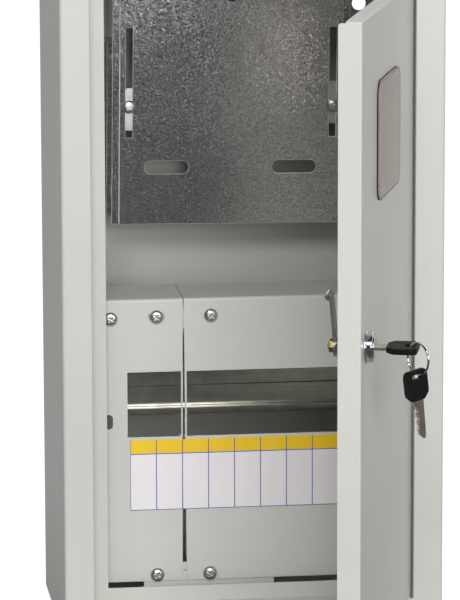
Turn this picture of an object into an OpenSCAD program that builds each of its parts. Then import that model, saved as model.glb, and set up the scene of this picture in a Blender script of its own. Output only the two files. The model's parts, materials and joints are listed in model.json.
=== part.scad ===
// Wall-hung sheet-steel meter and distribution cabinet with an inset hinged door.
// X to the right, Y into the wall (the front faces -Y), Z up, millimetres.
// Origin: centre of the flat back face. The door stands open at door_open.

/* [Cabinet] */
// Overall width
body_w = 261; // [220:1:340]
// Overall height
body_h = 476; // [440:1:600]
// Overall depth
body_d = 160; // [140:1:220]
// Sheet thickness of body and door
sheet = 1.2; // [0.8:0.1:2]
// Outside radius of the long bends
bend_r = 2.5; // [1.5:0.1:4]
// Width of the front flange at the sides
flange_side = 20.3; // [16:0.1:30]
// Width of the front flange at top and bottom
flange_end = 24; // [18:0.5:30]
// Depth of the rebate that takes the door
rebate = 16.5; // [16:0.1:22]
// Width of the ledge at the sides
ledge_side = 11; // [6:0.5:16]
// Width of the ledge at top and bottom
ledge_end = 10.5; // [6:0.5:16]
// Diameter of the wall fixing holes
wall_hole = 10; // [6:0.5:12]
// Distance of the wall fixing holes from the sides
wall_hole_side = 34.5; // [30:0.5:50]
// Distance of the wall fixing holes from top and bottom
wall_hole_end = 58.5; // [40:0.5:80]
// Diameter of the cable entries
entry_d = 28; // [20:0.5:32]
// Half spacing of the cable entries
entry_x = 55; // [40:1:70]

/* [Door] */
// Angle by which the door stands open
door_open = 71.75; // [0:0.25:108]
// Gap between door and frame
door_gap = 1.5; // [1.2:0.1:2.5]
// Depth of the door flange at the free edge
door_lip = 15; // [12:0.1:15.5]
// Depth of the other door flanges
door_rim = 10; // [6:0.1:11]
// Hinge axis, from the hinge edge of the door
hinge_in = 3.5; // [3.2:0.1:6]
// Hinge axis, behind the outer face of the door
hinge_back = 3.2; // [2.8:0.1:4]
// Width of the window
win_w = 86; // [60:1:120]
// Height of the window
win_h = 78; // [50:1:100]
// Distance of the window centre from the top of the door
win_drop = 85.5; // [60:0.5:110]
// Offset of the window centre from the middle
win_x = -5; // [-10:0.5:10]
// How far the window stands off the outer face
win_raise = 2; // [1:0.1:3]

/* [Lock] */
// Lock axis, from the free edge of the door
lock_in = 21; // [18:0.5:30]
// Height of the lock axis above the middle
lock_z = 1.5; // [-40:0.5:60]
// Diameter of the lock face
lock_face = 20; // [18:0.5:24]
// Length of the locking cam
cam_len = 36; // [32:0.5:40]
// Turn of the lock from cam upright towards cam behind the frame
lock_turn = 6.5; // [0:0.5:90]
// Diameter of the key ring
ring_d = 20.5; // [18:0.5:24]
// Lean of the spare key
spare_lean = 8; // [-20:1:20]

/* [Meter plate] */
// Width of the plate
plate_w = 167; // [150:1:176]
// Offset of the plate from the middle
plate_x = -0.7; // [-3:0.1:3]
// Roll of the plate as it is mounted
plate_roll = 0.77; // [-1:0.01:1]
// Distance of the lower fixing slots from the top of the cabinet
plate_drop = 167.5; // [160:0.5:180]
// Distance of the plate front from the back face
plate_off = 38.8; // [30:0.1:60]
// Height of the sliders above the lower fixing slots
slider_z = 43; // [28:0.5:94]

/* [Modular row] */
// Width of one module
module_w = 18; // [17.5:0.1:18]
// Front face of the covers, from the back face
cover_off = 134; // [128:0.5:138]
// Height of the covers
cover_h = 197.8; // [185:0.1:210]
// Gap between the covers and the ledge below them
cover_gap = 1.7; // [1:0.1:4]
// Depth of the cover top
cover_deep = 52; // [30:1:60]
// Distance of the middle of the cut-outs from the top of the covers
row_drop = 73.5; // [66:0.5:80]
// Height of the cut-outs
cut_h = 45.6; // [45:0.1:47]
// Width of the left cut-out
cut_left_w = 36.9; // [36:0.1:38]
// Width of the right cut-out
cut_right_w = 125.8; // [125:0.1:127]
// Height of the label strip
label_h = 49.3; // [40:0.1:60]
// Front of the mounting rail, from the back face
rail_off = 87.6; // [70:0.1:92]
// Length of the mounting rail
rail_len = 192; // [170:1:220]

/* [Hidden] */
half_w = body_w / 2;
half_h = body_h / 2;
front_y = -body_d;
in_x = half_w - sheet;
in_z = half_h - sheet;
op_x = half_w - flange_side;
op_z = half_h - flange_end;
wall_hole_x = half_w - wall_hole_side;
wall_hole_z = half_h - wall_hole_end;
over = 1;
// Door and hinge
door_x = op_x - door_gap;
door_z = op_z - door_gap;
rim_x = door_x - sheet;
rim_z = door_z - sheet;
door_r = 1;
hinge_x = door_x - hinge_in;
hinge_y = front_y + hinge_back;
pin_r = 1.5;
pin_reach = 4.5;
pin_head_r = 1.9;
pin_head_h = 1.5;
washer_r = 3;
washer_h = door_gap - 0.1;
press_gap = 0.02;
run_gap = 0.05;
win_z = door_z - win_drop;
win_r = 10;
win_lap = 5;
win_fit = 0.3;
win_clip = 1.5;
// Lock, outwards and inwards of the outer face of the door
lock_x = -door_x + lock_in;
lock_out = 5.2;
lock_bevel = 0.8;
lock_base_r = lock_face / 2 + 1;
lock_base_h = 1;
barrel_r = 8.8;
lock_fit = 0.2;
barrel_len = 18;
lock_nut_r = 12.2;
lock_nut_h = 4;
plug_r = 6;
plug_face_r = 7.6;
plug_face_h = 0.68;
plug_tail_r = 7.2;
plug_tail_h = 0.7;
stud_r = 2.5;
stud_len = 6;
cam_y = front_y + barrel_len + plug_tail_h;
cam_t = 1.6;
cam_lean = 4;
cam_root_w = 12;
cam_tip_w = 10;
cam_curl_r = 2.2;
cam_curl_hole = 1.1;
cam_nut_r = 4.6;
cam_nut_h = 3.6;
// Keys
key_t = 2.2;
key_in = 14.2;
key_w = 8;
key_fit = 0.02;
key_room = 0.2;
key_root = 6;
key_len = 32;
spare_len = 32;
bow_t = 4;
spare_bow_t = 3;
bow_y = front_y - 13.6;
bow_len = 20;
hole_in = 14.7;
hole_d = 7;
slot_in = 14.1;
slot_tall = 3.25;
ring_r = ring_d / 2;
wire_r = 0.7;
ring_turn = -131.75;
ring_off = 7.85;
ring_drop = 5.6;
ring_x = lock_x + ring_off * cos(ring_turn);
ring_y = bow_y - hole_in + ring_off * sin(ring_turn);
ring_z = lock_z - ring_drop;
spare_top = bow_len - 3.6;
spare_side = 2.5;
// Meter plate, in heights above its lower slots
plate_z = half_h - plate_drop;
plate_low = -40.2;
plate_high = 146;
plate_foot = 88;
plate_t = 1;
plate_joggle = 0.7;
plate_strip = 5.2;
foot_w = 14;
foot_nut = 8;
plate_nut_z = [-22, 72];
slot_x = plate_w / 2 - 11.8;
slot_w = 4.8;
slot_low = 21.2;
slot_high = 98.3;
fix_x = 45;
fix_d = 9;
fix_reach = 11;
top_slot = [119.5, 130.5];
top_slot_d = 7;
slider_w = 8.4;
slider_t = 1.5;
slider_long = 17;
slider_short = 13;
// Screws and nuts
screw_r = 2.5;
screw_hole = 2.8;
screw_head = 4.9;
slider_screw_r = 2;
small_head = 4.6;
nut_r = 4.6;
nut_h = 4;
// Modular row
cover_bot = -op_z + ledge_end + cover_gap;
cover_top = cover_bot + cover_h;
cover_y = -cover_off;
cover_bend = 2;
cover_end = op_x - ledge_side + 3.8;
row_z = cover_top - row_drop;
row_top = row_z + cut_h / 2;
row_bot = row_z - cut_h / 2;
split_x = -45.4;
cut_left = [split_x - 1.8 - cut_left_w, split_x - 1.8];
cut_right = [split_x + 2.1, split_x + 2.1 + cut_right_w];
seal_slot = [96.8, row_z - 11.5];
seam_deep = 12;
seam_t = 0.9;
seam_set = 0.15;
seam_runs = [[cover_top - 25.5, row_top + 1.5], [row_bot - 1.5, cover_bot + 14.8]];
screw_low = cover_bot + 4.6;
screws_left = [[7.7 - cover_end, cover_top - 13], [-63.9, cover_top - 12.4], [-64.2, screw_low]];
screws_right = [[cover_end - 7.7, cover_top - 13], [-26.7, cover_top - 12.2], [-27.8, screw_low]];
screw_slot = 3;
bar_high = cover_top - 5;
bar_low = cover_top - 21;
bar_deep = 12;
bar_tab = 16;
bracket_top = cover_bot + 12.4;
bracket_x = [-73.5, 17];
bracket_deep = 18;
label_x = -82.5;
label_top = row_bot - 1.9;
label_t = 0.3;
label_cells = 9;
// Mounting rail of the 35 mm top-hat kind
rail_h = 35;
rail_web = 27;
rail_deep = 7.5;
rail_t = 1;
rail_y = -rail_off;
bolt_x = rail_len / 2 - 8;
rail_arm = 8;
rail_arm_h = 20;
rail_arm_t = 2;
rail_foot = 24;

// Points of a rectangle with rounded corners, about the origin
function rr(w, h, r, n = 5) = [for (c = [0:3]) for (i = [0:n])
    let (a = 90 * c + 90 * i / n,
         sx = (c == 0 || c == 3) ? 1 : -1,
         sy = (c < 2) ? 1 : -1)
    [sx * (w / 2 - r) + r * cos(a), sy * (h / 2 - r) + r * sin(a)]];

// A flat shape drawn in X and Z, from y to y + t
module slab(y, t) {
    translate([0, y + t, 0]) rotate([90, 0, 0]) linear_extrude(t) children();
}

// A box from corner to corner
module span(a, b) {
    translate(a) cube(b - a);
}

// A round bar along Y from y0 to y1
module bar_y(x, z, r, y0, y1, n = 48) {
    translate([x, y1, z]) rotate([90, 0, 0]) cylinder(r = r, h = y1 - y0, $fn = n);
}

// A flat obround between two points
module obround(a, b, d) {
    hull() {
        translate(a) circle(d = d, $fn = 40);
        translate(b) circle(d = d, $fn = 40);
    }
}

// Turns the closed door and everything on it about the hinge axis
module on_door() {
    translate([hinge_x, hinge_y, 0]) rotate([0, 0, door_open])
        translate([-hinge_x, -hinge_y, 0]) children();
}

// Turns the lock's plug, its cam and the key in it about the lock axis, with that axis as the origin
module on_lock() {
    on_door() translate([lock_x, 0, lock_z]) rotate([0, -lock_turn, 0]) children();
}

// Rolls the meter plate about the middle of its lower slots
module on_plate() {
    translate([plate_x, 0, plate_z]) rotate([0, plate_roll, 0]) children();
}

// Whole block of the body with its rounded bends, within the box from a to b
module block_part(a, b) {
    color([0.80, 0.80, 0.78]) intersection() {
        translate([0, front_y / 2, -half_h]) linear_extrude(body_h) polygon(rr(body_w, body_d, bend_r));
        translate([-half_w, front_y / 2, 0]) rotate([90, 0, 90])
            linear_extrude(body_w) polygon(rr(body_d, body_h, bend_r));
        span(a, b);
    }
}

module body_back() {
    difference() {
        block_part([-in_x, -sheet, -in_z], [in_x, 0, in_z]);
        for (sx = [-1, 1]) for (sz = [-1, 1])
            bar_y(sx * wall_hole_x, sz * wall_hole_z, wall_hole / 2, -sheet - over, over);
    }
}

module body_left() { block_part([-half_w, front_y, -half_h], [-in_x, 0, half_h]); }
module body_right() { block_part([in_x, front_y, -half_h], [half_w, 0, half_h]); }

module body_top() {
    difference() {
        block_part([-in_x, front_y, in_z], [in_x, 0, half_h]);
        for (sx = [-1, 1]) translate([sx * entry_x, front_y / 2, in_z - over])
            cylinder(d = entry_d, h = sheet + 2 * over, $fn = 64);
    }
}

module body_bottom() { block_part([-in_x, front_y, -half_h], [in_x, 0, -in_z]); }

// Strips of the front flange, the side ones from top to bottom
module flange_left() { block_part([-in_x, front_y, -in_z], [-op_x - sheet, front_y + sheet, in_z]); }
module flange_right() { block_part([op_x + sheet, front_y, -in_z], [in_x, front_y + sheet, in_z]); }
module flange_top() { block_part([-op_x - sheet, front_y, op_z + sheet], [op_x + sheet, front_y + sheet, in_z]); }
module flange_bottom() {
    block_part([-op_x - sheet, front_y, -in_z], [op_x + sheet, front_y + sheet, -op_z - sheet]);
}

// Rebate wall and ledge along a side
module frame_side() {
    ledge_y = front_y + rebate;
    color([0.80, 0.80, 0.78]) {
        span([op_x, front_y, -op_z - sheet], [op_x + sheet, ledge_y + sheet, op_z + sheet]);
        span([op_x - ledge_side, ledge_y, -op_z], [op_x + sheet, ledge_y + sheet, op_z]);
    }
}
module frame_left() { mirror([1, 0, 0]) frame_side(); }
module frame_right() { frame_side(); }

// Rebate wall and ledge along the top, between the side ones, with the hole of the hinge pin
module frame_end() {
    ledge_y = front_y + rebate;
    ledge_x = op_x - ledge_side;
    color([0.80, 0.80, 0.78]) difference() {
        union() {
            span([-op_x, front_y, op_z], [op_x, ledge_y + sheet, op_z + sheet]);
            span([-ledge_x, ledge_y, op_z - ledge_end], [ledge_x, ledge_y + sheet, op_z + sheet]);
        }
        translate([hinge_x, hinge_y, op_z]) cylinder(r = pin_r + press_gap, h = 4 * sheet, center = true, $fn = 32);
    }
}
module frame_top() { frame_end(); }
module frame_bottom() { mirror([0, 0, 1]) frame_end(); }

// Rubber ring in a cable entry, with a groove for the sheet
module grommet(sx) {
    hole_r = entry_d / 2;
    lip_r = hole_r + 3;
    bore_r = hole_r - 5;
    color([0.12, 0.12, 0.12]) translate([sx * entry_x, front_y / 2, in_z])
        rotate_extrude($fn = 64) polygon([
            [bore_r, -2], [lip_r, -2], [lip_r, 0], [hole_r, 0],
            [hole_r, sheet], [lip_r, sheet], [lip_r, sheet + 1.4], [bore_r, sheet + 1.4]]);
}
module grommet_left() { grommet(-1); }
module grommet_right() { grommet(1); }

// Folded tray with a deeper lip along its free edge
module door_panel() {
    color([0.80, 0.80, 0.78]) on_door() difference() {
        union() {
            slab(front_y, door_rim) polygon(rr(2 * door_x, 2 * door_z, door_r));
            span([-door_x, front_y + sheet, -door_z + door_r], [-rim_x, front_y + door_lip, door_z - door_r]);
        }
        span([-rim_x, front_y + sheet, -rim_z], [rim_x, front_y + door_lip, rim_z]);
        slab(front_y - over, sheet + 2 * over) translate([win_x, win_z])
            polygon(rr(win_w - 2 * win_lap, win_h - 2 * win_lap, win_r - win_lap));
        bar_y(lock_x, lock_z, barrel_r + lock_fit, front_y - over, front_y + sheet + over);
        translate([hinge_x, hinge_y, -body_h]) cylinder(r = pin_r + run_gap, h = 2 * body_h, $fn = 32);
    }
}

// Outline of the part of the window that stands in the door's opening
module window_plug() {
    polygon(rr(win_w - 2 * win_lap - 2 * win_fit, win_h - 2 * win_lap - 2 * win_fit, win_r - win_lap - win_fit));
}

module window_pane() {
    color([0.78, 0.74, 0.74, 0.5]) on_door() {
        slab(front_y - win_raise, win_raise) translate([win_x, win_z]) polygon(rr(win_w, win_h, win_r));
        slab(front_y - 0.01, sheet + win_clip + 0.01) translate([win_x, win_z]) window_plug();
    }
}

module window_retainer() {
    color([0.6, 0.6, 0.6]) on_door() difference() {
        slab(front_y + sheet, win_clip) translate([win_x, win_z]) polygon(rr(win_w, win_h, win_r - 2));
        slab(front_y, sheet + win_clip + over) translate([win_x, win_z]) window_plug();
    }
}

module hinge_pin(sz) {
    color([0.75, 0.75, 0.75]) translate([hinge_x, hinge_y, 0]) mirror([0, 0, sz < 0 ? 1 : 0]) {
        translate([0, 0, op_z - pin_reach]) cylinder(r = pin_r, h = pin_reach + sheet + 0.5, $fn = 32);
        translate([0, 0, op_z + sheet]) cylinder(r = pin_head_r, h = pin_head_h, $fn = 32);
    }
}
module hinge_pin_upper() { hinge_pin(1); }
module hinge_pin_lower() { hinge_pin(-1); }

module hinge_washer(z) {
    color([0.9, 0.9, 0.88]) translate([hinge_x, hinge_y, z]) difference() {
        cylinder(r = washer_r, h = washer_h, $fn = 32);
        translate([0, 0, -over]) cylinder(r = pin_r + run_gap, h = washer_h + 2 * over, $fn = 32);
    }
}
module hinge_washer_upper() { hinge_washer(op_z - washer_h); }
module hinge_washer_lower() { hinge_washer(-op_z); }

module lock_housing() {
    color([0.85, 0.85, 0.86]) on_door() difference() {
        union() {
            bar_y(lock_x, lock_z, lock_base_r, front_y - lock_base_h, front_y, 64);
            bar_y(lock_x, lock_z, lock_face / 2, front_y - lock_out + lock_bevel, front_y, 64);
            translate([lock_x, front_y - lock_out + lock_bevel, lock_z]) rotate([90, 0, 0])
                cylinder(r1 = lock_face / 2, r2 = lock_face / 2 - lock_bevel, h = lock_bevel, $fn = 64);
            bar_y(lock_x, lock_z, barrel_r, front_y - 0.5, front_y + barrel_len, 64);
        }
        bar_y(lock_x, lock_z, plug_r + run_gap, front_y - lock_out - over, front_y + barrel_len + over, 64);
    }
}

module lock_nut() {
    color([0.7, 0.7, 0.72]) on_door() difference() {
        bar_y(lock_x, lock_z, lock_nut_r, front_y + sheet, front_y + sheet + lock_nut_h, 6);
        bar_y(lock_x, lock_z, barrel_r + press_gap, front_y, front_y + sheet + lock_nut_h + over, 64);
    }
}

module lock_plug() {
    face_y = front_y - lock_out - press_gap;
    tail_y = front_y + barrel_len + press_gap;
    color([0.82, 0.82, 0.83]) on_lock() difference() {
        union() {
            bar_y(0, 0, plug_face_r, face_y - plug_face_h, face_y, 64);
            bar_y(0, 0, plug_r, face_y - 0.1, tail_y, 64);
            bar_y(0, 0, plug_tail_r, tail_y, cam_y, 64);
            bar_y(0, 0, stud_r, cam_y - 0.2, cam_y + stud_len, 32);
        }
        span([-key_w / 2 - key_room, front_y - 2 * lock_out, -key_t / 2 - key_room],
             [key_w / 2 + key_room, front_y + key_in, key_t / 2 + key_room]);
    }
}

// Disc on the stud, arm that leans away from the door, and rolled end
module lock_cam() {
    arm = cam_len - cam_curl_r;
    color([0.75, 0.75, 0.76]) on_lock() difference() {
        union() {
            slab(cam_y, cam_t) circle(r = plug_tail_r, $fn = 48);
            translate([0, cam_y, 0]) rotate([-cam_lean, 0, 0]) {
                slab(0, cam_t) polygon([[-cam_root_w / 2, 0], [cam_root_w / 2, 0],
                    [cam_tip_w / 2, arm], [-cam_tip_w / 2, arm]]);
                translate([-cam_tip_w / 2, cam_curl_r, arm]) rotate([0, 90, 0]) difference() {
                    cylinder(r = cam_curl_r, h = cam_tip_w, $fn = 32);
                    translate([0, 0, -over]) cylinder(r = cam_curl_hole, h = cam_tip_w + 2 * over, $fn = 32);
                }
            }
        }
        bar_y(0, 0, stud_r + press_gap, cam_y - over, cam_y + stud_len + over, 32);
        bar_y(0, 0, cam_nut_r + key_room, cam_y + cam_t, cam_y + 2 * stud_len, 48);
    }
}

module cam_nut() {
    color([0.80, 0.62, 0.30]) on_lock() difference() {
        bar_y(0, 0, cam_nut_r, cam_y + cam_t, cam_y + cam_t + cam_nut_h, 6);
        bar_y(0, 0, stud_r + press_gap, cam_y, cam_y + stud_len + over, 32);
    }
}

// Flat outline of a key blade with its cuts on one side, tip towards +Y
module blade_shape(len) {
    w = key_w / 2;
    root = [[-w, 0], [w, 0], [w, 8.5]];
    cuts = [for (i = [0:5]) let (y = 9.5 + 2.6 * i, deep = [1.6, 2.6, 1.9, 3.0, 2.2, 2.7][i])
        each [[w - deep, y], [w - deep, y + 0.9], [w - deep + 0.9, y + 1.8]]];
    tip = [[w - 2.4, len - 3.4], [0.2 - w / 2, len], [1 - w, len - 1.2], [0.6 - w, len - 6], [-w, 8.5]];
    polygon(concat(root, cuts, tip));
}

// Flat outline of a key bow, blade side towards +Y
module bow_shape() {
    polygon([[-5, 0], [5, 0], [8.6, -3.8], [9, -5.5], [9, -bow_len + 3.6], [8.2, -bow_len + 1.2],
        [6.4, -bow_len], [-6.4, -bow_len], [-8.2, -bow_len + 1.2], [-9, -bow_len + 3.6], [-9, -5.5], [-8.6, -3.8]]);
}

// Room for the root of a blade in a bow whose middle plane is at z
module blade_root(z) {
    translate([-key_w / 2 - key_fit, -key_root, z - key_t / 2 - key_fit])
        cube([key_w + 2 * key_fit, key_root + over, key_t + 2 * key_fit]);
}

module key_blade() {
    color([0.78, 0.78, 0.76]) on_lock() translate([0, bow_y - key_root, -key_t / 2])
        linear_extrude(key_t) blade_shape(key_len);
}

module key_bow() {
    color([0.06, 0.06, 0.06]) on_lock() translate([0, bow_y, -bow_t / 2]) difference() {
        linear_extrude(bow_t) bow_shape();
        translate([0, -hole_in, -over]) cylinder(d = hole_d, h = bow_t + 2 * over, $fn = 48);
        blade_root(bow_t / 2);
    }
}

module key_ring() {
    color([0.80, 0.80, 0.80]) on_door() translate([ring_x, ring_y, ring_z]) rotate([0, 0, ring_turn])
        rotate([90, 0, 0]) rotate_extrude($fn = 64) translate([ring_r, 0]) circle(r = wire_r, $fn = 20);
}

// Stands the spare key upright with its slot on the lowest point of the ring
module on_ring() {
    on_door() translate([ring_x, ring_y, ring_z - ring_r]) rotate([0, 0, ring_turn])
        rotate([spare_lean, 0, 0]) rotate([0, 0, 90]) rotate([90, 0, 0]) children();
}

module spare_bow() {
    color([0.06, 0.06, 0.06]) on_ring() translate([-spare_side, -spare_top, -spare_bow_t / 2]) rotate([0, 0, 180])
        difference() {
            linear_extrude(spare_bow_t) bow_shape();
            translate([-hole_d / 2, -slot_in - slot_tall, -over]) cube([hole_d, slot_tall, spare_bow_t + 2 * over]);
            blade_root(spare_bow_t / 2);
        }
}

module spare_blade() {
    color([0.78, 0.78, 0.76]) on_ring() translate([-spare_side, key_root - spare_top, -key_t / 2])
        rotate([0, 0, 180]) linear_extrude(key_t) blade_shape(spare_len);
}

module meter_plate() {
    half = plate_w / 2;
    step = half - plate_strip;
    back = -plate_off + plate_joggle;
    color([0.60, 0.63, 0.67]) on_plate() difference() {
        union() {
            span([-step, -plate_off, plate_low], [step, -plate_off + plate_t, plate_high]);
            for (s = [0, 1]) mirror([s, 0, 0]) {
                span([step - 2, back, plate_low], [half, back + plate_t, plate_high]);
                span([half - plate_t, back, plate_low], [half, -sheet, plate_high]);
                span([half - plate_t, -sheet - plate_t, plate_low], [half + foot_w, -sheet, plate_foot]);
            }
        }
        for (sx = [-1, 1]) {
            slab(-plate_off - over, 5) obround([sx * fix_x - fix_reach, 0], [sx * fix_x + fix_reach, 0], fix_d);
            span([sx * slot_x - slot_w / 2, -plate_off - over, slot_low],
                 [sx * slot_x + slot_w / 2, -plate_off + 5, slot_high]);
            for (z = plate_nut_z) bar_y(sx * (half + foot_nut), z, screw_r + 0.2, -sheet - plate_t - over, 0, 32);
        }
        slab(-plate_off - over, 5) obround([0, top_slot[0]], [0, top_slot[1]], top_slot_d);
    }
}

module plate_nuts() {
    seat = -sheet - plate_t;
    color([0.78, 0.78, 0.77]) on_plate() for (sx = [-1, 1]) for (z = plate_nut_z) {
        bar_y(sx * (plate_w / 2 + foot_nut), z, nut_r, seat - nut_h, seat, 6);
        bar_y(sx * (plate_w / 2 + foot_nut), z, screw_r, seat - nut_h - 2, -sheet, 32);
    }
}

// Sliding nut strip behind an upright slot, with its long end below the screw or above it
module slider(x, below, above) {
    back = -plate_off + plate_t + press_gap;
    color([0.88, 0.88, 0.86]) on_plate() difference() {
        span([x - slider_w / 2, back, slider_z - below], [x + slider_w / 2, back + slider_t, slider_z + above]);
        bar_y(x, slider_z, slider_screw_r + press_gap, back - over, back + slider_t + over, 32);
    }
}
module slider_left() { slider(-slot_x, slider_long, slider_short); }
module slider_right() { slider(slot_x, slider_short, slider_long); }

// Pan head with a cross recess, head seat at y, shank of length len behind it
module pan_screw(x, z, y, head_r, shank_r, len) {
    arm = head_r * 1.05;
    cut = head_r * 0.23;
    difference() {
        union() {
            bar_y(x, z, shank_r, y - 0.5, y + len, 32);
            translate([x, y, z]) rotate([90, 0, 0]) rotate_extrude($fn = 40) polygon([
                [0, 0], [head_r, 0], [head_r, head_r * 0.18], [head_r * 0.93, head_r * 0.35],
                [head_r * 0.76, head_r * 0.5], [head_r * 0.45, head_r * 0.58], [0, head_r * 0.6]]);
        }
        translate([x, y - head_r * 0.5, z]) rotate([0, 35, 0]) {
            cube([arm, head_r * 0.5, cut], center = true);
            cube([cut, head_r * 0.5, arm], center = true);
        }
    }
}

module slider_screw(sx) {
    color([0.80, 0.80, 0.80]) on_plate()
        pan_screw(sx * slot_x, slider_z, -plate_off - press_gap, small_head, slider_screw_r, 6);
}
module slider_screw_left() { slider_screw(-1); }
module slider_screw_right() { slider_screw(1); }

// Top-hat section of the rail, drawn in depth and height
module rail_shape() {
    h = rail_h / 2;
    w = rail_web / 2;
    polygon([[0, h], [rail_t, h], [rail_t, w], [rail_deep, w], [rail_deep, -w], [rail_t, -w], [rail_t, -h], [0, -h],
        [0, rail_t - w], [rail_deep - rail_t, rail_t - w], [rail_deep - rail_t, w - rail_t], [0, w - rail_t]]);
}

module din_rail() {
    color([0.78, 0.78, 0.77]) difference() {
        translate([-rail_len / 2, rail_y, row_z]) rotate([90, 0, 90]) linear_extrude(rail_len) rail_shape();
        for (sx = [-1, 1]) bar_y(sx * bolt_x, row_z, screw_r + 0.2, rail_y, rail_y + rail_deep + over, 32);
    }
}

module rail_bracket(sx) {
    y = rail_y + rail_deep;
    low = row_z - rail_arm_h / 2;
    high = row_z + rail_arm_h / 2;
    color([0.78, 0.78, 0.77]) difference() {
        translate([sx * bolt_x, 0, 0]) mirror([sx < 0 ? 1 : 0, 0, 0]) {
            span([-rail_arm, y, low], [rail_arm, y + rail_arm_t, high]);
            span([rail_arm - rail_arm_t, y, low], [rail_arm, -sheet, high]);
            span([rail_arm - rail_arm_t, -sheet - rail_arm_t, low], [rail_foot, -sheet, high]);
        }
        bar_y(sx * bolt_x, row_z, screw_r + press_gap, y - over, y + rail_arm_t + over, 32);
    }
}
module rail_bracket_left() { rail_bracket(-1); }
module rail_bracket_right() { rail_bracket(1); }

module rail_screws() {
    color([0.80, 0.80, 0.80]) for (sx = [-1, 1])
        pan_screw(sx * bolt_x, row_z, rail_y + rail_deep - rail_t - press_gap, small_head, screw_r, 7);
}

// Bent sheet of the covers, drawn in depth and height
module cover_shape() {
    polygon(concat(
        [[sheet, cover_bot], [0, cover_bot]],
        [for (i = [0:6]) let (a = 180 - 15 * i)
            [cover_bend * (1 + cos(a)), cover_top - cover_bend * (1 - sin(a))]],
        [[cover_deep, cover_top], [cover_deep, cover_top - sheet]],
        [for (i = [0:6]) let (a = 90 + 15 * i, r = cover_bend - sheet)
            [cover_bend + r * cos(a), cover_top - cover_bend + r * sin(a)]]));
}

module cover_blank(x0, x1) {
    translate([x0, cover_y, 0]) rotate([90, 0, 90]) linear_extrude(x1 - x0) cover_shape();
}

// Edges of the two covers at the seam between them, which opens a little downwards
function seam_left(z) = split_x - 0.4 - 0.9 * (cover_top - z) / cover_h;
function seam_right(z) = split_x + 0.3 + 1.4 * (cover_top - z) / cover_h;

// Stiffening folds along the seam, above and below the cut-outs, set in from the left edge or the right one
module seam_folds(left) {
    for (run = seam_runs) {
        a = left ? seam_left(run[0]) - seam_t - seam_set : seam_right(run[0]) + seam_set;
        b = left ? seam_left(run[1]) - seam_t - seam_set : seam_right(run[1]) + seam_set;
        slab(cover_y + 0.5, seam_deep)
            polygon([[a, run[0]], [a + seam_t, run[0]], [b + seam_t, run[1]], [b, run[1]]]);
    }
}

// Upright hole for a seal wire beside a cut-out
module seal_hole(x) {
    slab(cover_y - over, sheet + 2 * over) obround([x, seal_slot[1] - 2.4], [x, seal_slot[1] + 2.4], 5.2);
}

module cover_left() {
    color([0.78, 0.78, 0.76]) {
        difference() {
            cover_blank(-cover_end, split_x);
            slab(cover_y - over, cover_deep + 2 * over) polygon([
                [seam_left(cover_top + over), cover_top + over], [split_x + 5, cover_top + over],
                [split_x + 5, cover_bot - over], [seam_left(cover_bot - over), cover_bot - over]]);
            span([cut_left[0], cover_y - over, row_bot], [cut_left[1], cover_y + sheet + over, row_top]);
            seal_hole(-seal_slot[0]);
            for (p = [screws_left[0], screws_left[2]])
                bar_y(p[0], p[1], screw_hole, cover_y - over, cover_y + sheet + over, 32);
            slab(cover_y - over, sheet + 2 * over)
                obround(screws_left[1] - [screw_slot, 0], screws_left[1] + [screw_slot, 0], 2 * screw_hole);
        }
        seam_folds(true);
    }
}

module cover_right() {
    color([0.78, 0.78, 0.76]) {
        difference() {
            cover_blank(split_x, cover_end);
            slab(cover_y - over, cover_deep + 2 * over) polygon([
                [split_x - 5, cover_top + over], [seam_right(cover_top + over), cover_top + over],
                [seam_right(cover_bot - over), cover_bot - over], [split_x - 5, cover_bot - over]]);
            span([cut_right[0], cover_y - over, row_bot], [cut_right[1], cover_y + sheet + over, row_top]);
            seal_hole(seal_slot[0]);
            for (p = screws_right) bar_y(p[0], p[1], screw_hole, cover_y - over, cover_y + sheet + over, 32);
        }
        seam_folds(false);
    }
}

module cover_screws_left() {
    color([0.80, 0.80, 0.80]) for (p = screws_left) pan_screw(p[0], p[1], cover_y, screw_head, screw_r, 6);
}

module cover_screws_right() {
    color([0.80, 0.80, 0.80]) for (p = screws_right) pan_screw(p[0], p[1], cover_y, screw_head, screw_r, 6);
}

// Tapped holes of all the cover screws, in a sheet that lies behind the covers
module cover_taps() {
    for (p = concat(screws_left, screws_right))
        bar_y(p[0], p[1], screw_r + press_gap, cover_y, cover_y + 2 * sheet + over, 32);
}

module cover_crossbar() {
    y = cover_y + sheet;
    color([0.78, 0.78, 0.76]) difference() {
        union() {
            span([-in_x, y, bar_low], [in_x, y + sheet, bar_high]);
            span([-in_x, y, bar_low], [in_x, y + bar_deep, bar_low + sheet]);
            for (s = [0, 1]) mirror([s, 0, 0]) span([in_x - sheet, y, bar_low], [in_x, y + bar_tab, bar_high]);
        }
        cover_taps();
    }
}

module cover_bracket() {
    y = cover_y + sheet;
    color([0.78, 0.78, 0.76]) difference() {
        union() {
            span([bracket_x[0], y, -in_z], [bracket_x[1], y + sheet, bracket_top]);
            span([bracket_x[0], y, -in_z], [bracket_x[1], y + bracket_deep, -in_z + sheet]);
        }
        cover_taps();
    }
}

module label_strip() {
    color([0.96, 0.96, 0.94]) span([label_x, cover_y - label_t, label_top - label_h],
        [label_x + label_cells * module_w, cover_y, label_top]);
}

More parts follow.
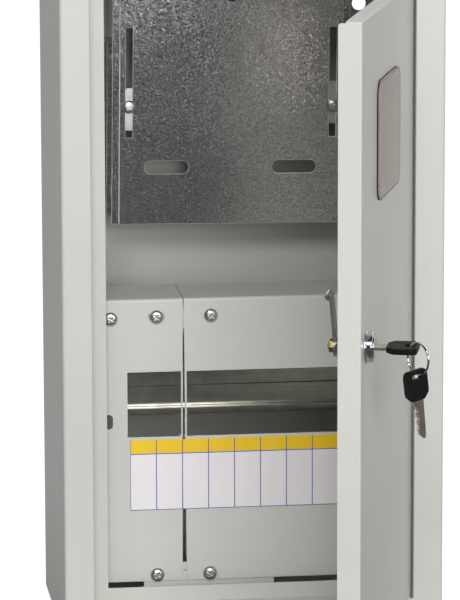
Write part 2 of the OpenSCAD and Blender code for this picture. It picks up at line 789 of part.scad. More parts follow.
body_back();
body_left();
body_right();
body_top();
body_bottom();
flange_left();
flange_right();
flange_top();
flange_bottom();
frame_left();
frame_right();
frame_top();
frame_bottom();
door_panel();
window_pane();
window_retainer();
hinge_pin_upper();
hinge_pin_lower();
hinge_washer_upper();
hinge_washer_lower();
lock_housing();
lock_nut();
lock_plug();
lock_cam();
cam_nut();
key_blade();
key_bow();
key_ring();
spare_blade();
spare_bow();
meter_plate();
plate_nuts();
slider_left();
slider_right();
slider_screw_left();
slider_screw_right();
din_rail();
rail_bracket_left();
rail_bracket_right();
rail_screws();
cover_left();
cover_right();
cover_screws_left();
cover_screws_right();
cover_crossbar();
cover_bracket();
label_strip();
grommet_left();
grommet_right();
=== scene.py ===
"""Looks of a wall-hung meter and distribution cabinet: finishes, softened edges, studio and camera."""
import json
import math

import bpy
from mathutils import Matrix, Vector


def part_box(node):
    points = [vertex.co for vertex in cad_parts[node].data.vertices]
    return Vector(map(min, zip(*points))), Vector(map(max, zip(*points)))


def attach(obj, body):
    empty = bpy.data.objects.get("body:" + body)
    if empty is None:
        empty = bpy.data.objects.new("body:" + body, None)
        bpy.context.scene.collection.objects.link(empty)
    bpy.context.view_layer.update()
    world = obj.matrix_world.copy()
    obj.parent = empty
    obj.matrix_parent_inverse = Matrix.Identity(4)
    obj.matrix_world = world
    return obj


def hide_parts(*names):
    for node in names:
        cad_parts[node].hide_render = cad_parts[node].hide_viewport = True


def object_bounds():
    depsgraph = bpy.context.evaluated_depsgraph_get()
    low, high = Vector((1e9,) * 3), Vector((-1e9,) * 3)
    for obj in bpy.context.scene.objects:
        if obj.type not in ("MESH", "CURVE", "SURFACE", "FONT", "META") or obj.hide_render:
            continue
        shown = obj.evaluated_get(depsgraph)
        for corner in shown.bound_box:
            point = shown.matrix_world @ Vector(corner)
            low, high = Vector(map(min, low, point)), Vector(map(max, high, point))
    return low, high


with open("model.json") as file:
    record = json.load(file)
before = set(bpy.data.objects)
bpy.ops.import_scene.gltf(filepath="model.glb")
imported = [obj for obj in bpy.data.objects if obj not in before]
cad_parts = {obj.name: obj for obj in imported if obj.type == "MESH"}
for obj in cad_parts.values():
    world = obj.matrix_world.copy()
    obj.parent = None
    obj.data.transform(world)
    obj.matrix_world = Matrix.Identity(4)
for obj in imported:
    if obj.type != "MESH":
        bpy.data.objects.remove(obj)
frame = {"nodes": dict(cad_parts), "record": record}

cad_low, cad_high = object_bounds()

# Sizes of the sheet body in metres, as in the part's source
MM = 0.001
BODY_W = 261 * MM
BODY_H = 476 * MM
BODY_D = 160 * MM
SHEET = 1.2 * MM
BODY_BEND = 2.5 * MM
STEP_X = 110.2 * MM
STEP_Z = 214 * MM
REBATE = 16.5 * MM
LEDGE_X = 99.2 * MM
LEDGE_Z = 203.5 * MM
FLANGE_CORNER = 1.1 * MM
LEDGE_CORNER = 0.6 * MM
SHELL_EDGE = 0.3 * MM
WALL_HOLE_R = 5 * MM
WALL_HOLE_X = 96 * MM
WALL_HOLE_Z = 179.5 * MM
ENTRY_R = 14 * MM
ENTRY_X = 55 * MM

# Modelling: what counts as the same place, the reach of a cut, and angles of flat, sharp and smooth edges
NEAR = 0.05 * MM
THROUGH = 10 * MM
MERGE = 0.002 * MM
FLAT = math.radians(0.3)
SHARP = math.radians(50)
SMOOTH = math.radians(35)
DEPTH_WAY = Vector((0, 1, 0))
FACING_FRONT = (math.pi / 2, 0, 0)
UPRIGHT = (0, 0, 0)

# Sizes of the door, which is modelled closed and then swung open about its hinge
DOOR_X = 108.7 * MM
DOOR_Z = 212.5 * MM
DOOR_RIM = 10 * MM
DOOR_LIP = 15 * MM
# Wider than the sheet, so that the inner wall doesn't cross itself
DOOR_CORNER = 1.4 * MM
DOOR_BEND = 1.4 * MM
LIP_CORNER = 1.8 * MM
DOOR_EDGE = 0.25 * MM
DOOR_OPEN = math.radians(71.75)
HINGE = (105.2 * MM, -156.8 * MM, 0)
PIN_HOLE_R = 1.55 * MM
WINDOW_X = -5 * MM
WINDOW_Z = 127 * MM
WINDOW_W = 86 * MM
WINDOW_H = 78 * MM
WINDOW_CORNER = 10 * MM
WINDOW_LAP = 5 * MM
LOCK_X = -87.7 * MM
LOCK_Z = 1.5 * MM
LOCK_HOLE_R = 9 * MM
# The dark strip round the window is painted shade, standing in for the shadow gap at the window's rim.
SHADOW_STRIP_DEPTH = 0.9 * MM
SHADOW_STRIP_OUT = 0.1 * MM
SHADOW_STRIP_IN = 1.5 * MM
SHADOW_STRIP_EDGE = 0.1 * MM


# Helpers for colours and node trees

def srgb(hex_colour):
    """Turns an sRGB hex colour into the linear values that a shader takes."""
    linear = []
    for start in (1, 3, 5):
        value = int(hex_colour[start:start + 2], 16) / 255
        linear.append(value / 12.92 if value <= 0.04045 else ((value + 0.055) / 1.055) ** 2.4)
    return (*linear, 1.0)


def add(tree, kind, inputs=None, stops=None, **settings):
    """Adds a node, sets its fields and colour stops, and fills or links its input sockets."""
    made = tree.nodes.new("ShaderNode" + kind)
    for field, value in settings.items():
        setattr(made, field, value)
    for index, (place, colour) in enumerate(stops or []):
        elements = made.color_ramp.elements
        stop = elements[index] if index < 2 else elements.new(place)
        stop.position = place
        stop.color = srgb(colour)
    for socket, value in (inputs or {}).items():
        if isinstance(value, bpy.types.NodeSocket):
            tree.links.new(value, made.inputs[socket])
        else:
            made.inputs[socket].default_value = value
    return made


def new_material(name):
    """A new material, its node tree with nothing but Object coordinates, and those coordinates."""
    made = bpy.data.materials.new(name)
    made.use_nodes = True
    tree = made.node_tree
    tree.nodes.clear()
    coords = add(tree, "TexCoord").outputs["Object"]
    return made, tree, coords


def per_metre(size_mm):
    """Texture scale for a pattern whose features are that many millimetres across."""
    return 1 / (size_mm * MM)


# Materials

def make_powder_coat():
    """Light grey polyester powder coat on sheet: satin, with a fine orange peel and a faint unevenness."""
    made, tree, coords = new_material("powder_coat_light_grey")
    # The peel of the real coat is under 1 mm, drawn at 2 mm so that it shows.
    peel = add(tree, "TexNoise", {"Vector": coords, "Scale": per_metre(2), "Detail": 3.0})
    cloud = add(tree, "TexNoise", {"Vector": coords, "Scale": per_metre(90), "Detail": 2.0})
    colour = add(tree, "ValToRGB", {"Fac": cloud.outputs["Fac"]}, [(0.3, "#CDCEC8"), (0.7, "#D1D2CC")])
    gloss = add(tree, "MapRange", {"Value": peel.outputs["Fac"], "To Min": 0.30, "To Max": 0.35})
    bump = add(tree, "Bump", {"Height": peel.outputs["Fac"], "Strength": 0.02, "Distance": 0.3 * MM})
    shader = add(tree, "BsdfPrincipled", {
        "Base Color": colour.outputs["Color"], "Roughness": gloss.outputs["Result"],
        "Normal": bump.outputs["Normal"], "IOR": 1.5})
    add(tree, "OutputMaterial", {"Surface": shader.outputs["BSDF"]})
    return made


def make_galvanised():
    """Skin-passed galvanised sheet: a dull mirror broken up by a fine grain of zinc crystals."""
    made, tree, coords = new_material("galvanised_steel_fine_spangle")
    # Crystals of about 1 mm, each a small facet with its own lean, so that they glint one by one.
    crystal = add(tree, "TexVoronoi", {"Vector": coords, "Scale": per_metre(0.9)})
    sheen = add(tree, "TexNoise", {"Vector": coords, "Scale": per_metre(60), "Detail": 2.0})
    tone = add(tree, "SeparateColor", {"Color": crystal.outputs["Color"]})
    colour = add(tree, "ValToRGB", {"Fac": tone.outputs["Red"]}, [(0.0, "#B4B7B8"), (1.0, "#F0F1EE")])
    gloss = add(tree, "MapRange", {"Value": sheen.outputs["Fac"], "To Min": 0.08, "To Max": 0.13})
    inside = add(tree, "VectorMath", {0: coords, 1: crystal.outputs["Position"]}, operation="SUBTRACT")
    lean = add(tree, "VectorMath", {0: crystal.outputs["Color"], 1: (0.5, 0.5, 0.5)}, operation="SUBTRACT")
    facet = add(tree, "VectorMath", {0: inside.outputs["Vector"], 1: lean.outputs["Vector"]},
                operation="DOT_PRODUCT")
    bump = add(tree, "Bump", {"Height": facet.outputs["Value"], "Strength": 1.0, "Distance": 0.085})
    shader = add(tree, "BsdfPrincipled", {
        "Base Color": colour.outputs["Color"], "Metallic": 1.0, "Roughness": gloss.outputs["Result"],
        "Normal": bump.outputs["Normal"]})
    add(tree, "OutputMaterial", {"Surface": shader.outputs["BSDF"]})
    return made


def make_rolled_zinc():
    """Zinc-plated rail rolled from strip: bright, with fine streaks along its length."""
    made, tree, coords = new_material("rolled_zinc_rail")
    # Roll marks about 0.4 mm apart and tens of millimetres long, drawn at 0.8 mm so that they show.
    along = add(tree, "Mapping", {"Vector": coords, "Scale": (0.02, 1.0, 1.0)})
    streak = add(tree, "TexNoise", {
        "Vector": along.outputs["Vector"], "Scale": per_metre(0.8), "Detail": 3.0})
    blotch = add(tree, "TexNoise", {"Vector": coords, "Scale": per_metre(9), "Detail": 3.0})
    mixed = add(tree, "Math", {0: streak.outputs["Fac"], 1: blotch.outputs["Fac"]}, operation="MULTIPLY")
    colour = add(tree, "ValToRGB", {"Fac": mixed.outputs["Value"]}, [(0.1, "#A3A199"), (0.4, "#BDBBB3")])
    gloss = add(tree, "MapRange", {"Value": blotch.outputs["Fac"], "To Min": 0.22, "To Max": 0.25})
    bump = add(tree, "Bump", {"Height": streak.outputs["Fac"], "Strength": 0.05, "Distance": 0.05 * MM})
    shader = add(tree, "BsdfPrincipled", {
        "Base Color": colour.outputs["Color"], "Metallic": 1.0, "Roughness": gloss.outputs["Result"],
        "Normal": bump.outputs["Normal"]})
    add(tree, "OutputMaterial", {"Surface": shader.outputs["BSDF"]})
    return made


def make_plated(name, dark, light, roughness, blotch_mm, metallic=1.0):
    """Plated or turned metal: two close tones in soft blotches, with fine handling marks in the gloss."""
    made, tree, coords = new_material(name)
    blotch = add(tree, "TexNoise", {"Vector": coords, "Scale": per_metre(blotch_mm), "Detail": 3.0})
    marks = add(tree, "TexNoise", {"Vector": coords, "Scale": per_metre(0.8), "Detail": 4.0})
    colour = add(tree, "ValToRGB", {"Fac": blotch.outputs["Fac"]}, [(0.3, dark), (0.7, light)])
    gloss = add(tree, "MapRange", {
        "Value": marks.outputs["Fac"], "To Min": roughness * 0.8, "To Max": roughness * 1.3})
    bump = add(tree, "Bump", {"Height": marks.outputs["Fac"], "Strength": 0.04, "Distance": 0.1 * MM})
    shader = add(tree, "BsdfPrincipled", {
        "Base Color": colour.outputs["Color"], "Metallic": metallic, "Roughness": gloss.outputs["Result"],
        "Normal": bump.outputs["Normal"]})
    add(tree, "OutputMaterial", {"Surface": shader.outputs["BSDF"]})
    return made


def make_moulded(name, dark, light, roughness, grain_mm, gleam=0.5):
    """Moulded plastic or rubber: a close pair of tones and a fine moulded grain."""
    made, tree, coords = new_material(name)
    grain = add(tree, "TexNoise", {"Vector": coords, "Scale": per_metre(grain_mm), "Detail": 2.0})
    colour = add(tree, "ValToRGB", {"Fac": grain.outputs["Fac"]}, [(0.3, dark), (0.7, light)])
    gloss = add(tree, "MapRange", {
        "Value": grain.outputs["Fac"], "To Min": roughness * 0.9, "To Max": roughness * 1.15})
    bump = add(tree, "Bump", {"Height": grain.outputs["Fac"], "Strength": 0.1, "Distance": 0.15 * MM})
    shader = add(tree, "BsdfPrincipled", {
        "Base Color": colour.outputs["Color"], "Roughness": gloss.outputs["Result"],
        "Normal": bump.outputs["Normal"], "IOR": 1.5, "Specular IOR Level": gleam})
    add(tree, "OutputMaterial", {"Surface": shader.outputs["BSDF"]})
    return made


def make_window_plastic():
    """Moulded clear polystyrene under its milky shipping film: lets light through, with a warm grey cast."""
    made, tree, coords = new_material("polystyrene_window")
    film = add(tree, "TexNoise", {"Vector": coords, "Scale": per_metre(18), "Detail": 2.0})
    colour = add(tree, "ValToRGB", {"Fac": film.outputs["Fac"]}, [(0.3, "#DFCFC8"), (0.7, "#E6D7D1")])
    gloss = add(tree, "MapRange", {"Value": film.outputs["Fac"], "To Min": 0.2, "To Max": 0.28})
    shader = add(tree, "BsdfPrincipled", {
        "Base Color": colour.outputs["Color"], "Roughness": gloss.outputs["Result"], "IOR": 1.59,
        "Transmission Weight": 0.8, "Specular IOR Level": 0.015})
    add(tree, "OutputMaterial", {"Surface": shader.outputs["BSDF"]})
    return made


def make_label_film():
    """Printed self-adhesive film: a yellow header band over white writing cells, ruled in thin blue."""
    made, tree, coords = new_material("printed_label_film")
    low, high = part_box("label_strip")
    cell = 18 * MM
    rule = 0.32 * MM
    header = 9.8 * MM
    split = add(tree, "SeparateXYZ", {"Vector": coords})
    # Upright rules stand at every cell edge, so the way along is folded about the middle of a cell.
    from_left = add(tree, "Math", {0: split.outputs["X"], 1: low.x}, operation="SUBTRACT")
    in_cells = add(tree, "Math", {0: from_left.outputs["Value"], 1: cell}, operation="DIVIDE")
    from_edge = add(tree, "Math", {0: in_cells.outputs["Value"], 1: 0.5}, operation="PINGPONG")
    upright = add(tree, "Math", {0: from_edge.outputs["Value"], 1: rule / cell}, operation="LESS_THAN")
    level = add(tree, "Math", {0: split.outputs["Z"], 1: high.z - header, 2: rule}, operation="COMPARE")
    foot = add(tree, "Math", {0: split.outputs["Z"], 1: low.z + 1.5 * rule}, operation="LESS_THAN")
    head = add(tree, "Math", {0: split.outputs["Z"], 1: high.z - header}, operation="GREATER_THAN")
    across = add(tree, "Math", {0: level.outputs["Value"], 1: foot.outputs["Value"]}, operation="MAXIMUM")
    ruled = add(tree, "Math", {0: upright.outputs["Value"], 1: across.outputs["Value"]}, operation="MAXIMUM")
    tint = add(tree, "TexNoise", {"Vector": coords, "Scale": per_metre(25), "Detail": 2.0})
    white = add(tree, "ValToRGB", {"Fac": tint.outputs["Fac"]}, [(0.3, "#EEE9EC"), (0.7, "#F2EDF0")])
    yellow = add(tree, "ValToRGB", {"Fac": tint.outputs["Fac"]}, [(0.3, "#F7CB1C"), (0.7, "#FACF24")])
    field = add(tree, "MixRGB", {
        "Fac": head.outputs["Value"], "Color1": white.outputs["Color"], "Color2": yellow.outputs["Color"]})
    printed = add(tree, "MixRGB", {
        "Fac": ruled.outputs["Value"], "Color1": field.outputs["Color"], "Color2": srgb("#4A63B4")})
    shader = add(tree, "BsdfPrincipled", {
        "Base Color": printed.outputs["Color"], "Roughness": 0.4, "IOR": 1.5})
    add(tree, "OutputMaterial", {"Surface": shader.outputs["BSDF"]})
    return made


powder_coat = make_powder_coat()
galvanised = make_galvanised()
rolled_zinc = make_rolled_zinc()
zinc = make_plated("zinc_plated_steel", "#D0D1D0", "#E8E9E8", 0.3, 4)
# A near-white, rougher finish for the plate's softened edges: partly the bare sheared steel of its cut
# edges, partly a painted highlight that makes every softened edge of the plate show as a bright line.
cut_edge_and_highlight = make_plated("sheared_edge_and_painted_highlight", "#E6E6E3", "#F4F4F1", 0.5, 3, 0.2)
strip_zinc = make_plated("bright_zinc_strip", "#C0C0BC", "#D2D2CE", 0.38, 6)
chrome = make_plated("polished_chrome", "#C6C8CB", "#DCDDDF", 0.15, 5)
nickel = make_plated("nickel_silver_key", "#C6B8AC", "#DDD0C6", 0.36, 3)
brass = make_plated("turned_brass", "#A08C5A", "#BCA97A", 0.22, 2)
black_abs = make_moulded("moulded_black_abs", "#0A0A0A", "#111111", 0.5, 0.7, 0.3)
# Black rubber for the grommets; the same dark finish also paints the shade round the window.
black_rubber_and_shade = make_moulded("grommet_rubber_and_painted_shade", "#151515", "#1E1E1E", 0.75, 1.2)
white_nylon = make_moulded("washer_nylon", "#DEDCD3", "#E8E6DE", 0.5, 1.5)
grey_abs = make_moulded("window_frame_abs", "#A3A39E", "#AEAEA9", 0.5, 1.0)
window_plastic = make_window_plastic()
label_film = make_label_film()


# Modelling helpers

def pick(piece, kind, test, along=None):
    """Goes to edit mode with only those points, edges or faces selected whose corners all pass the test.

    With along, only edges that run along that axis are taken.
    """
    bpy.ops.object.mode_set(mode="EDIT")
    bpy.ops.mesh.select_mode(type=kind)
    bpy.ops.mesh.select_all(action="DESELECT")
    bpy.ops.object.mode_set(mode="OBJECT")
    mesh = piece.data
    for item in {"VERT": mesh.vertices, "EDGE": mesh.edges, "FACE": mesh.polygons}[kind]:
        corners = [item.co] if kind == "VERT" else [mesh.vertices[corner].co for corner in item.vertices]
        item.select = all(test(corner) for corner in corners)
        if along and item.select:
            way = corners[1] - corners[0]
            item.select = abs(way.normalized().dot(along)) > 0.99
    bpy.ops.object.mode_set(mode="EDIT")


def soften(piece, width, segments):
    """Rounds the sharp edges of a piece, in its second material if it has one, and smooths its curves."""
    bevel = piece.modifiers.new("soft_edge", "BEVEL")
    bevel.width = width
    bevel.segments = segments
    bevel.material = len(piece.data.materials) - 1
    bevel.use_clamp_overlap = bevel.material == 0
    bevel.limit_method = "ANGLE"
    bevel.angle_limit = SHARP
    bpy.ops.object.modifier_apply(modifier=bevel.name)
    bpy.ops.object.shade_smooth_by_angle(angle=SMOOTH)
    flat = piece.modifiers.new("flat_faces", "WEIGHTED_NORMAL")
    flat.keep_sharp = True
    bpy.ops.object.modifier_apply(modifier=flat.name)


def thicken(piece):
    """Gives an open surface the thickness of the sheet, inwards."""
    wall = piece.modifiers.new("sheet", "SOLIDIFY")
    wall.thickness = SHEET
    wall.offset = -1
    wall.use_even_offset = True
    bpy.ops.object.modifier_apply(modifier=wall.name)


def drill(piece, radius, place, turn):
    """Cuts a round hole through a piece with a bar at that place and turn."""
    bpy.ops.object.select_all(action="DESELECT")
    bpy.ops.mesh.primitive_cylinder_add(
        vertices=48, radius=radius, depth=THROUGH, location=place, rotation=turn)
    cut_away(piece, bpy.context.object)


def cut_away(piece, tool):
    """Takes the tool's shape out of a piece and removes the tool."""
    bpy.context.view_layer.objects.active = piece
    cut = piece.modifiers.new("hole", "BOOLEAN")
    cut.operation = "DIFFERENCE"
    cut.object = tool
    bpy.ops.object.modifier_apply(modifier=cut.name)
    bpy.data.objects.remove(tool)


def body_of(node_name):
    """The moving or fixed body that a CAD node belongs to."""
    for body, members in frame["record"]["behaviour"]["bodies"].items():
        if node_name in members:
            return body


def dress(piece, *materials):
    """Gives a piece its finish, and a second one for the edges that soften makes."""
    piece.data.materials.clear()
    for material in materials:
        piece.data.materials.append(material)


def stand_for(piece, *nodes):
    """Lets a piece ride with these CAD nodes and stand in their place."""
    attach(piece, body_of(nodes[0]))
    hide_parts(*nodes)


# The sheet pieces that stand for the welded body and the door

def make_cabinet_shell():
    """The welded body as one folded sheet: box, front flange, rebate and ledge, with its holes."""
    bpy.ops.object.select_all(action="DESELECT")
    bpy.ops.mesh.primitive_cube_add(size=1)
    shell = bpy.context.object
    shell.name = "cabinet_shell"
    bpy.ops.object.mode_set(mode="EDIT")
    bpy.ops.transform.resize(value=(BODY_W, BODY_D, BODY_H))
    bpy.ops.transform.translate(value=(0, -BODY_D / 2, 0))
    front = (0, -BODY_D, 0)
    pick(shell, "FACE", lambda co: co.y < -BODY_D + NEAR)
    flange = BODY_W / 2 - STEP_X
    bpy.ops.mesh.inset(thickness=flange)
    bpy.ops.transform.resize(value=(1, 1, STEP_Z / (BODY_H / 2 - flange)), center_override=front)
    bpy.ops.mesh.extrude_region_move(TRANSFORM_OT_translate={"value": (0, REBATE, 0)})
    ledge = STEP_X - LEDGE_X
    bpy.ops.mesh.inset(thickness=ledge)
    bpy.ops.transform.resize(value=(1, 1, LEDGE_Z / (STEP_Z - ledge)), center_override=front)
    bpy.ops.mesh.delete(type="FACE")

    def at_outer_corner(co):
        return abs(co.x) > BODY_W / 2 - NEAR and abs(co.z) > BODY_H / 2 - NEAR

    def at_step(co, y):
        return abs(abs(co.x) - STEP_X) < NEAR and abs(abs(co.z) - STEP_Z) < NEAR and abs(co.y - y) < NEAR

    pick(shell, "EDGE", at_outer_corner)
    bpy.ops.mesh.bevel(offset=BODY_BEND, segments=5)
    pick(shell, "EDGE", lambda co: at_step(co, -BODY_D))
    bpy.ops.mesh.bevel(offset=FLANGE_CORNER, segments=4)
    pick(shell, "EDGE", lambda co: at_step(co, -BODY_D + REBATE))
    bpy.ops.mesh.bevel(offset=LEDGE_CORNER, segments=3)
    bpy.ops.object.mode_set(mode="OBJECT")
    thicken(shell)
    for side in (-1, 1):
        for end in (-1, 1):
            drill(shell, WALL_HOLE_R, (side * WALL_HOLE_X, 0, end * WALL_HOLE_Z), FACING_FRONT)
        drill(shell, ENTRY_R, (side * ENTRY_X, -BODY_D / 2, BODY_H / 2), UPRIGHT)
    shell.select_set(True)
    dress(shell, powder_coat)
    soften(shell, SHELL_EDGE, 2)
    stand_for(shell, "body_back", "body_left", "body_right", "body_top", "body_bottom",
              "flange_left", "flange_right", "flange_top", "flange_bottom",
              "frame_left", "frame_right", "frame_top", "frame_bottom")


def at_corner(x, z, half_w, half_h):
    """A test for the edges through the thickness at the corners of a rectangle in the front plane."""
    return lambda co: abs(abs(co.x - x) - half_w) < NEAR and abs(abs(co.z - z) - half_h) < NEAR


def window_blank(grow):
    """A block across the door face in the outline of the window, larger or smaller all round by grow."""
    bpy.ops.object.select_all(action="DESELECT")
    bpy.ops.mesh.primitive_cube_add(size=1)
    blank = bpy.context.object
    bpy.ops.object.mode_set(mode="EDIT")
    bpy.ops.transform.resize(value=(WINDOW_W + 2 * grow, THROUGH, WINDOW_H + 2 * grow))
    bpy.ops.transform.translate(value=(WINDOW_X, -BODY_D, WINDOW_Z))
    half_w = WINDOW_W / 2 + grow
    half_h = WINDOW_H / 2 + grow
    pick(blank, "EDGE", at_corner(WINDOW_X, WINDOW_Z, half_w, half_h), DEPTH_WAY)
    bpy.ops.mesh.bevel(offset=WINDOW_CORNER + grow, segments=10)
    bpy.ops.object.mode_set(mode="OBJECT")
    return blank


def swing_open(piece):
    """Turns a piece that was modelled on the closed door about the hinge."""
    bpy.ops.object.select_all(action="DESELECT")
    piece.select_set(True)
    bpy.context.view_layer.objects.active = piece
    bpy.ops.object.mode_set(mode="EDIT")
    bpy.ops.mesh.select_all(action="SELECT")
    bpy.ops.transform.rotate(value=-DOOR_OPEN, orient_axis="Z", center_override=HINGE)
    bpy.ops.object.mode_set(mode="OBJECT")


def make_door_leaf():
    """The door as one folded pan with a deeper lip at its free edge, modelled closed and swung open."""
    bpy.ops.object.select_all(action="DESELECT")
    bpy.ops.mesh.primitive_cube_add(size=1)
    leaf = bpy.context.object
    leaf.name = "door_leaf"
    bpy.ops.object.mode_set(mode="EDIT")
    bpy.ops.transform.resize(value=(2 * DOOR_X, DOOR_RIM, 2 * DOOR_Z))
    bpy.ops.transform.translate(value=(0, -BODY_D + DOOR_RIM / 2, 0))
    rim_y = -BODY_D + DOOR_RIM
    pick(leaf, "FACE", lambda co: co.y > rim_y - NEAR)
    bpy.ops.mesh.delete(type="FACE")
    pick(leaf, "EDGE", at_corner(0, 0, DOOR_X, DOOR_Z), DEPTH_WAY)
    bpy.ops.mesh.bevel(offset=DOOR_CORNER, segments=5)
    pick(leaf, "EDGE", lambda co: co.y > rim_y - NEAR and co.x < -DOOR_X + NEAR)
    bpy.ops.mesh.extrude_region_move(TRANSFORM_OT_translate={"value": (0, DOOR_LIP - DOOR_RIM, 0)})
    pick(leaf, "VERT", lambda co: co.y > -BODY_D + DOOR_LIP - NEAR)
    bpy.ops.mesh.bevel(offset=LIP_CORNER, segments=5, affect="VERTICES")
    pick(leaf, "EDGE", lambda co: co.y < -BODY_D + NEAR)
    bpy.ops.mesh.bevel(offset=DOOR_BEND, segments=4)
    bpy.ops.object.mode_set(mode="OBJECT")
    thicken(leaf)
    cut_away(leaf, window_blank(-WINDOW_LAP))
    drill(leaf, LOCK_HOLE_R, (LOCK_X, -BODY_D, LOCK_Z), FACING_FRONT)
    for end in (-1, 1):
        drill(leaf, PIN_HOLE_R, (HINGE[0], HINGE[1], end * DOOR_Z), UPRIGHT)
    leaf.select_set(True)
    dress(leaf, powder_coat)
    soften(leaf, DOOR_EDGE, 2)
    swing_open(leaf)
    stand_for(leaf, "door_panel")


def make_window_shadow_strip():
    """A dark strip round the rim of the window: painted shade that stands in for the shadow gap there and
    shows as a thin dark line round it.
    """
    strip = window_blank(SHADOW_STRIP_OUT)
    strip.name = "window_shadow_strip"
    bpy.context.view_layer.objects.active = strip
    strip.select_set(True)
    bpy.ops.object.mode_set(mode="EDIT")
    bpy.ops.mesh.select_all(action="SELECT")
    bpy.ops.transform.resize(value=(1, SHADOW_STRIP_DEPTH / THROUGH, 1), center_override=(0, -BODY_D, 0))
    bpy.ops.transform.translate(value=(0, -SHADOW_STRIP_DEPTH / 2, 0))
    bpy.ops.object.mode_set(mode="OBJECT")
    cut_away(strip, window_blank(-SHADOW_STRIP_IN))
    strip.select_set(True)
    # Dark finish on the strip: painted shade for the shadow gap round the window.
    dress(strip, black_rubber_and_shade)
    soften(strip, SHADOW_STRIP_EDGE, 2)
    swing_open(strip)
    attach(strip, "door")


# The other sheet and turned parts

def finished_copy(node_name, edge_mm, *materials):
    """A merged copy of a CAD node in its place, with its edges softened, in one or two finishes."""
    source = frame["nodes"][node_name]
    bpy.ops.object.select_all(action="DESELECT")
    piece = source.copy()
    piece.data = source.data.copy()
    piece.parent = None
    piece.name = node_name + "_finished"
    bpy.context.collection.objects.link(piece)
    piece.select_set(True)
    bpy.context.view_layer.objects.active = piece
    bpy.ops.object.mode_set(mode="EDIT")
    bpy.ops.mesh.select_all(action="SELECT")
    bpy.ops.mesh.remove_doubles(threshold=MERGE)
    bpy.ops.mesh.dissolve_limited(angle_limit=FLAT)
    # Faces with notches are split here, because the bevel can leave them filled in across the notch.
    bpy.ops.mesh.vert_connect_concave()
    bpy.ops.object.mode_set(mode="OBJECT")
    dress(piece, *materials)
    soften(piece, edge_mm * MM, 3)
    stand_for(piece, node_name)


make_cabinet_shell()
make_door_leaf()
make_window_shadow_strip()
FINISHED = [
    ("cover_left", 0.3, powder_coat),
    ("cover_right", 0.3, powder_coat),
    ("cover_bracket", 0.3, powder_coat),
    ("cover_crossbar", 0.3, powder_coat),
    # The plate's softened edges take the near-white edge finish: bare cut steel and a painted highlight.
    ("meter_plate", 0.3, galvanised, cut_edge_and_highlight),
    ("window_pane", 0.3, window_plastic),
    ("lock_housing", 0.3, chrome),
    ("lock_plug", 0.3, chrome),
    ("lock_cam", 0.3, strip_zinc),
    ("cam_nut", 0.4, brass),
    ("lock_nut", 0.4, zinc),
    ("key_blade", 0.2, nickel),
    ("key_bow", 0.8, black_abs),
    ("spare_blade", 0.2, nickel),
    ("spare_bow", 0.7, black_abs),
    ("cover_screws_left", 0.15, zinc),
    ("cover_screws_right", 0.15, zinc),
    ("slider_screw_left", 0.15, zinc),
    ("slider_screw_right", 0.15, zinc),
    ("slider_left", 0.3, strip_zinc),
    ("slider_right", 0.3, strip_zinc),
    ("din_rail", 0.35, rolled_zinc),
]
for finishing in FINISHED:
    finished_copy(*finishing)

AS_BUILT = {
    "window_retainer": grey_abs,
    "hinge_pin_upper": zinc,
    "hinge_pin_lower": zinc,
    "hinge_washer_upper": white_nylon,
    "hinge_washer_lower": white_nylon,
    "key_ring": chrome,
    "plate_nuts": zinc,
    "rail_bracket_left": rolled_zinc,
    "rail_bracket_right": rolled_zinc,
    "rail_screws": zinc,
    "label_strip": label_film,
    "grommet_left": black_rubber_and_shade,
    "grommet_right": black_rubber_and_shade,
}
for node_name, material in AS_BUILT.items():
    dress(frame["nodes"][node_name], material)


# Studio: a pale table, soft lamps and a white backdrop with the dark room behind the camera

FILL_WAY = (-0.55, -0.75, 0.37)
FILL_LOW = 0.1
FILL_HIGH = 0.5
TABLE_WIDTH = 16
TABLE_BACK = 3
TABLE_GAP = 0.5 * MM
LAMP_AIM = Vector((0, -0.1, 0))
CAMERA_PLACE = (-0.37907, -3.0112, 0.55237)
CAMERA_DOWN = math.radians(10.8976)
CAMERA_ROLL = math.radians(0.1516)
CAMERA_TURN = math.radians(-7.2740)
SENSOR_MM = 36
LENS_MM = 259.71


def make_table():
    """A wide pale table top under the cabinet that is white to the camera and keeps the shadow."""
    bpy.ops.object.select_all(action="DESELECT")
    bpy.ops.mesh.primitive_plane_add(size=1)
    table = bpy.context.object
    table.name = "studio_table"
    bpy.ops.object.mode_set(mode="EDIT")
    bpy.ops.transform.resize(value=(TABLE_WIDTH, TABLE_WIDTH, 1))
    bpy.ops.transform.translate(value=(0, TABLE_BACK, cad_low.z - TABLE_GAP))
    bpy.ops.object.mode_set(mode="OBJECT")
    made, tree, coords = new_material("studio_table_paper")
    path = add(tree, "LightPath")
    split = add(tree, "SeparateXYZ", {"Vector": coords})
    behind = add(tree, "MapRange", {
        "Value": split.outputs["Y"], "From Min": -0.5, "From Max": 0.3, "To Min": 0.055, "To Max": 0.4})
    mirrored = add(tree, "Math", {0: path.outputs["Is Glossy Ray"], 1: behind.outputs["Result"]},
                   operation="MULTIPLY")
    glow = add(tree, "Math", {0: path.outputs["Is Camera Ray"], 1: 0.85, 2: mirrored.outputs["Value"]},
               operation="MULTIPLY_ADD")
    paper = add(tree, "MixRGB", {
        "Fac": path.outputs["Is Glossy Ray"], "Color1": srgb("#D6D6D4"), "Color2": srgb("#26292C")})
    shader = add(tree, "BsdfPrincipled", {
        "Base Color": paper.outputs["Color"], "Roughness": 0.9, "Specular IOR Level": 0.0,
        "Emission Color": (1, 1, 1, 1), "Emission Strength": glow.outputs["Value"]})
    add(tree, "OutputMaterial", {"Surface": shader.outputs["BSDF"]})
    table.data.materials.append(made)


def soft_lamp(name, place, width, height, power):
    """A soft box that shines from place at the cabinet."""
    bpy.ops.object.light_add(type="AREA", location=place)
    lamp = bpy.context.object
    lamp.name = name
    lamp.data.shape = "RECTANGLE"
    lamp.data.size = width
    lamp.data.size_y = height
    lamp.data.energy = power
    lamp.rotation_euler = (LAMP_AIM - Vector(place)).to_track_quat("-Z", "Y").to_euler()


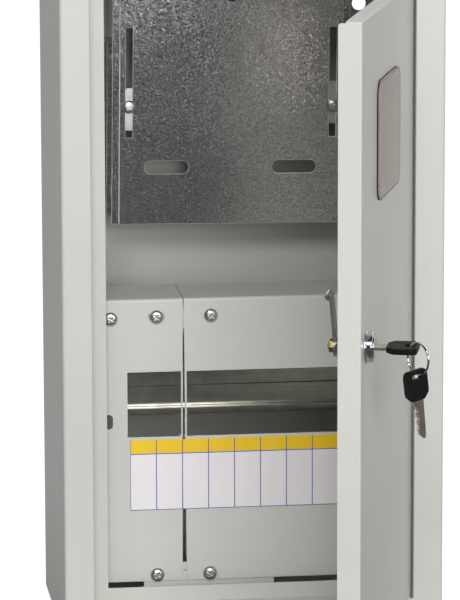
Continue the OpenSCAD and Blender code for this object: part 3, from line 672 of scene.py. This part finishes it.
def make_world():
    """White backdrop behind the cabinet, the unlit room on the camera's side, and an even fill as light."""
    world = bpy.data.worlds.new("white_backdrop")
    bpy.context.scene.world = world
    world.use_nodes = True
    tree = world.node_tree
    tree.nodes.clear()
    path = add(tree, "LightPath")
    coords = add(tree, "TexCoord").outputs["Generated"]
    split = add(tree, "SeparateXYZ", {"Vector": coords})
    towards_wall = add(tree, "MapRange", {"Value": split.outputs["Y"], "From Min": 0.05, "From Max": 0.4})
    upward = add(tree, "MapRange", {"Value": split.outputs["Z"], "From Min": -0.3, "From Max": 0.1})
    room = add(tree, "ValToRGB", {"Fac": upward.outputs["Result"]}, [(0.0, "#3A424A"), (1.0, "#1A1D20")])
    mirrored = add(tree, "MixRGB", {
        "Fac": towards_wall.outputs["Result"], "Color1": room.outputs["Color"], "Color2": (1, 1, 1, 1)})
    facing = add(tree, "VectorMath", {0: coords, 1: FILL_WAY}, operation="DOT_PRODUCT")
    fill = add(tree, "MapRange", {
        "Value": facing.outputs["Value"], "From Min": -0.3, "From Max": 1.0,
        "To Min": FILL_LOW, "To Max": FILL_HIGH})
    as_light = add(tree, "MixRGB", {
        "Fac": path.outputs["Is Glossy Ray"],
        "Color1": fill.outputs["Result"], "Color2": mirrored.outputs["Color"]})
    seen = add(tree, "Math", {0: path.outputs["Is Camera Ray"], 1: path.outputs["Is Transmission Ray"]},
               operation="MAXIMUM")
    shown = add(tree, "MixRGB", {
        "Fac": seen.outputs["Value"], "Color1": as_light.outputs["Color"], "Color2": (1, 1, 1, 1)})
    sky = add(tree, "Background", {"Color": shown.outputs["Color"]})
    add(tree, "OutputWorld", {"Surface": sky.outputs["Background"]})


def make_camera():
    """The photograph's long-lens view, from the left and a little above."""
    bpy.ops.object.camera_add(location=CAMERA_PLACE)
    camera = bpy.context.object
    camera.name = "photo_camera"
    camera.rotation_euler = (math.pi / 2 - CAMERA_DOWN, CAMERA_ROLL, CAMERA_TURN)
    camera.data.sensor_fit = "VERTICAL"
    camera.data.sensor_height = SENSOR_MM
    camera.data.lens = LENS_MM
    camera.data.clip_end = 60
    bpy.context.scene.camera = camera


make_table()
make_world()
soft_lamp("front_box", (0.4, -2.8, 0.55), 1.4, 0.8, 30)
soft_lamp("top_box", (-0.45, -2.3, 1.4), 0.6, 0.6, 19)
soft_lamp("right_box", (2.6, -0.5, 0.4), 0.8, 0.8, 7)
make_camera()
bpy.context.scene.view_settings.view_transform = "Standard"
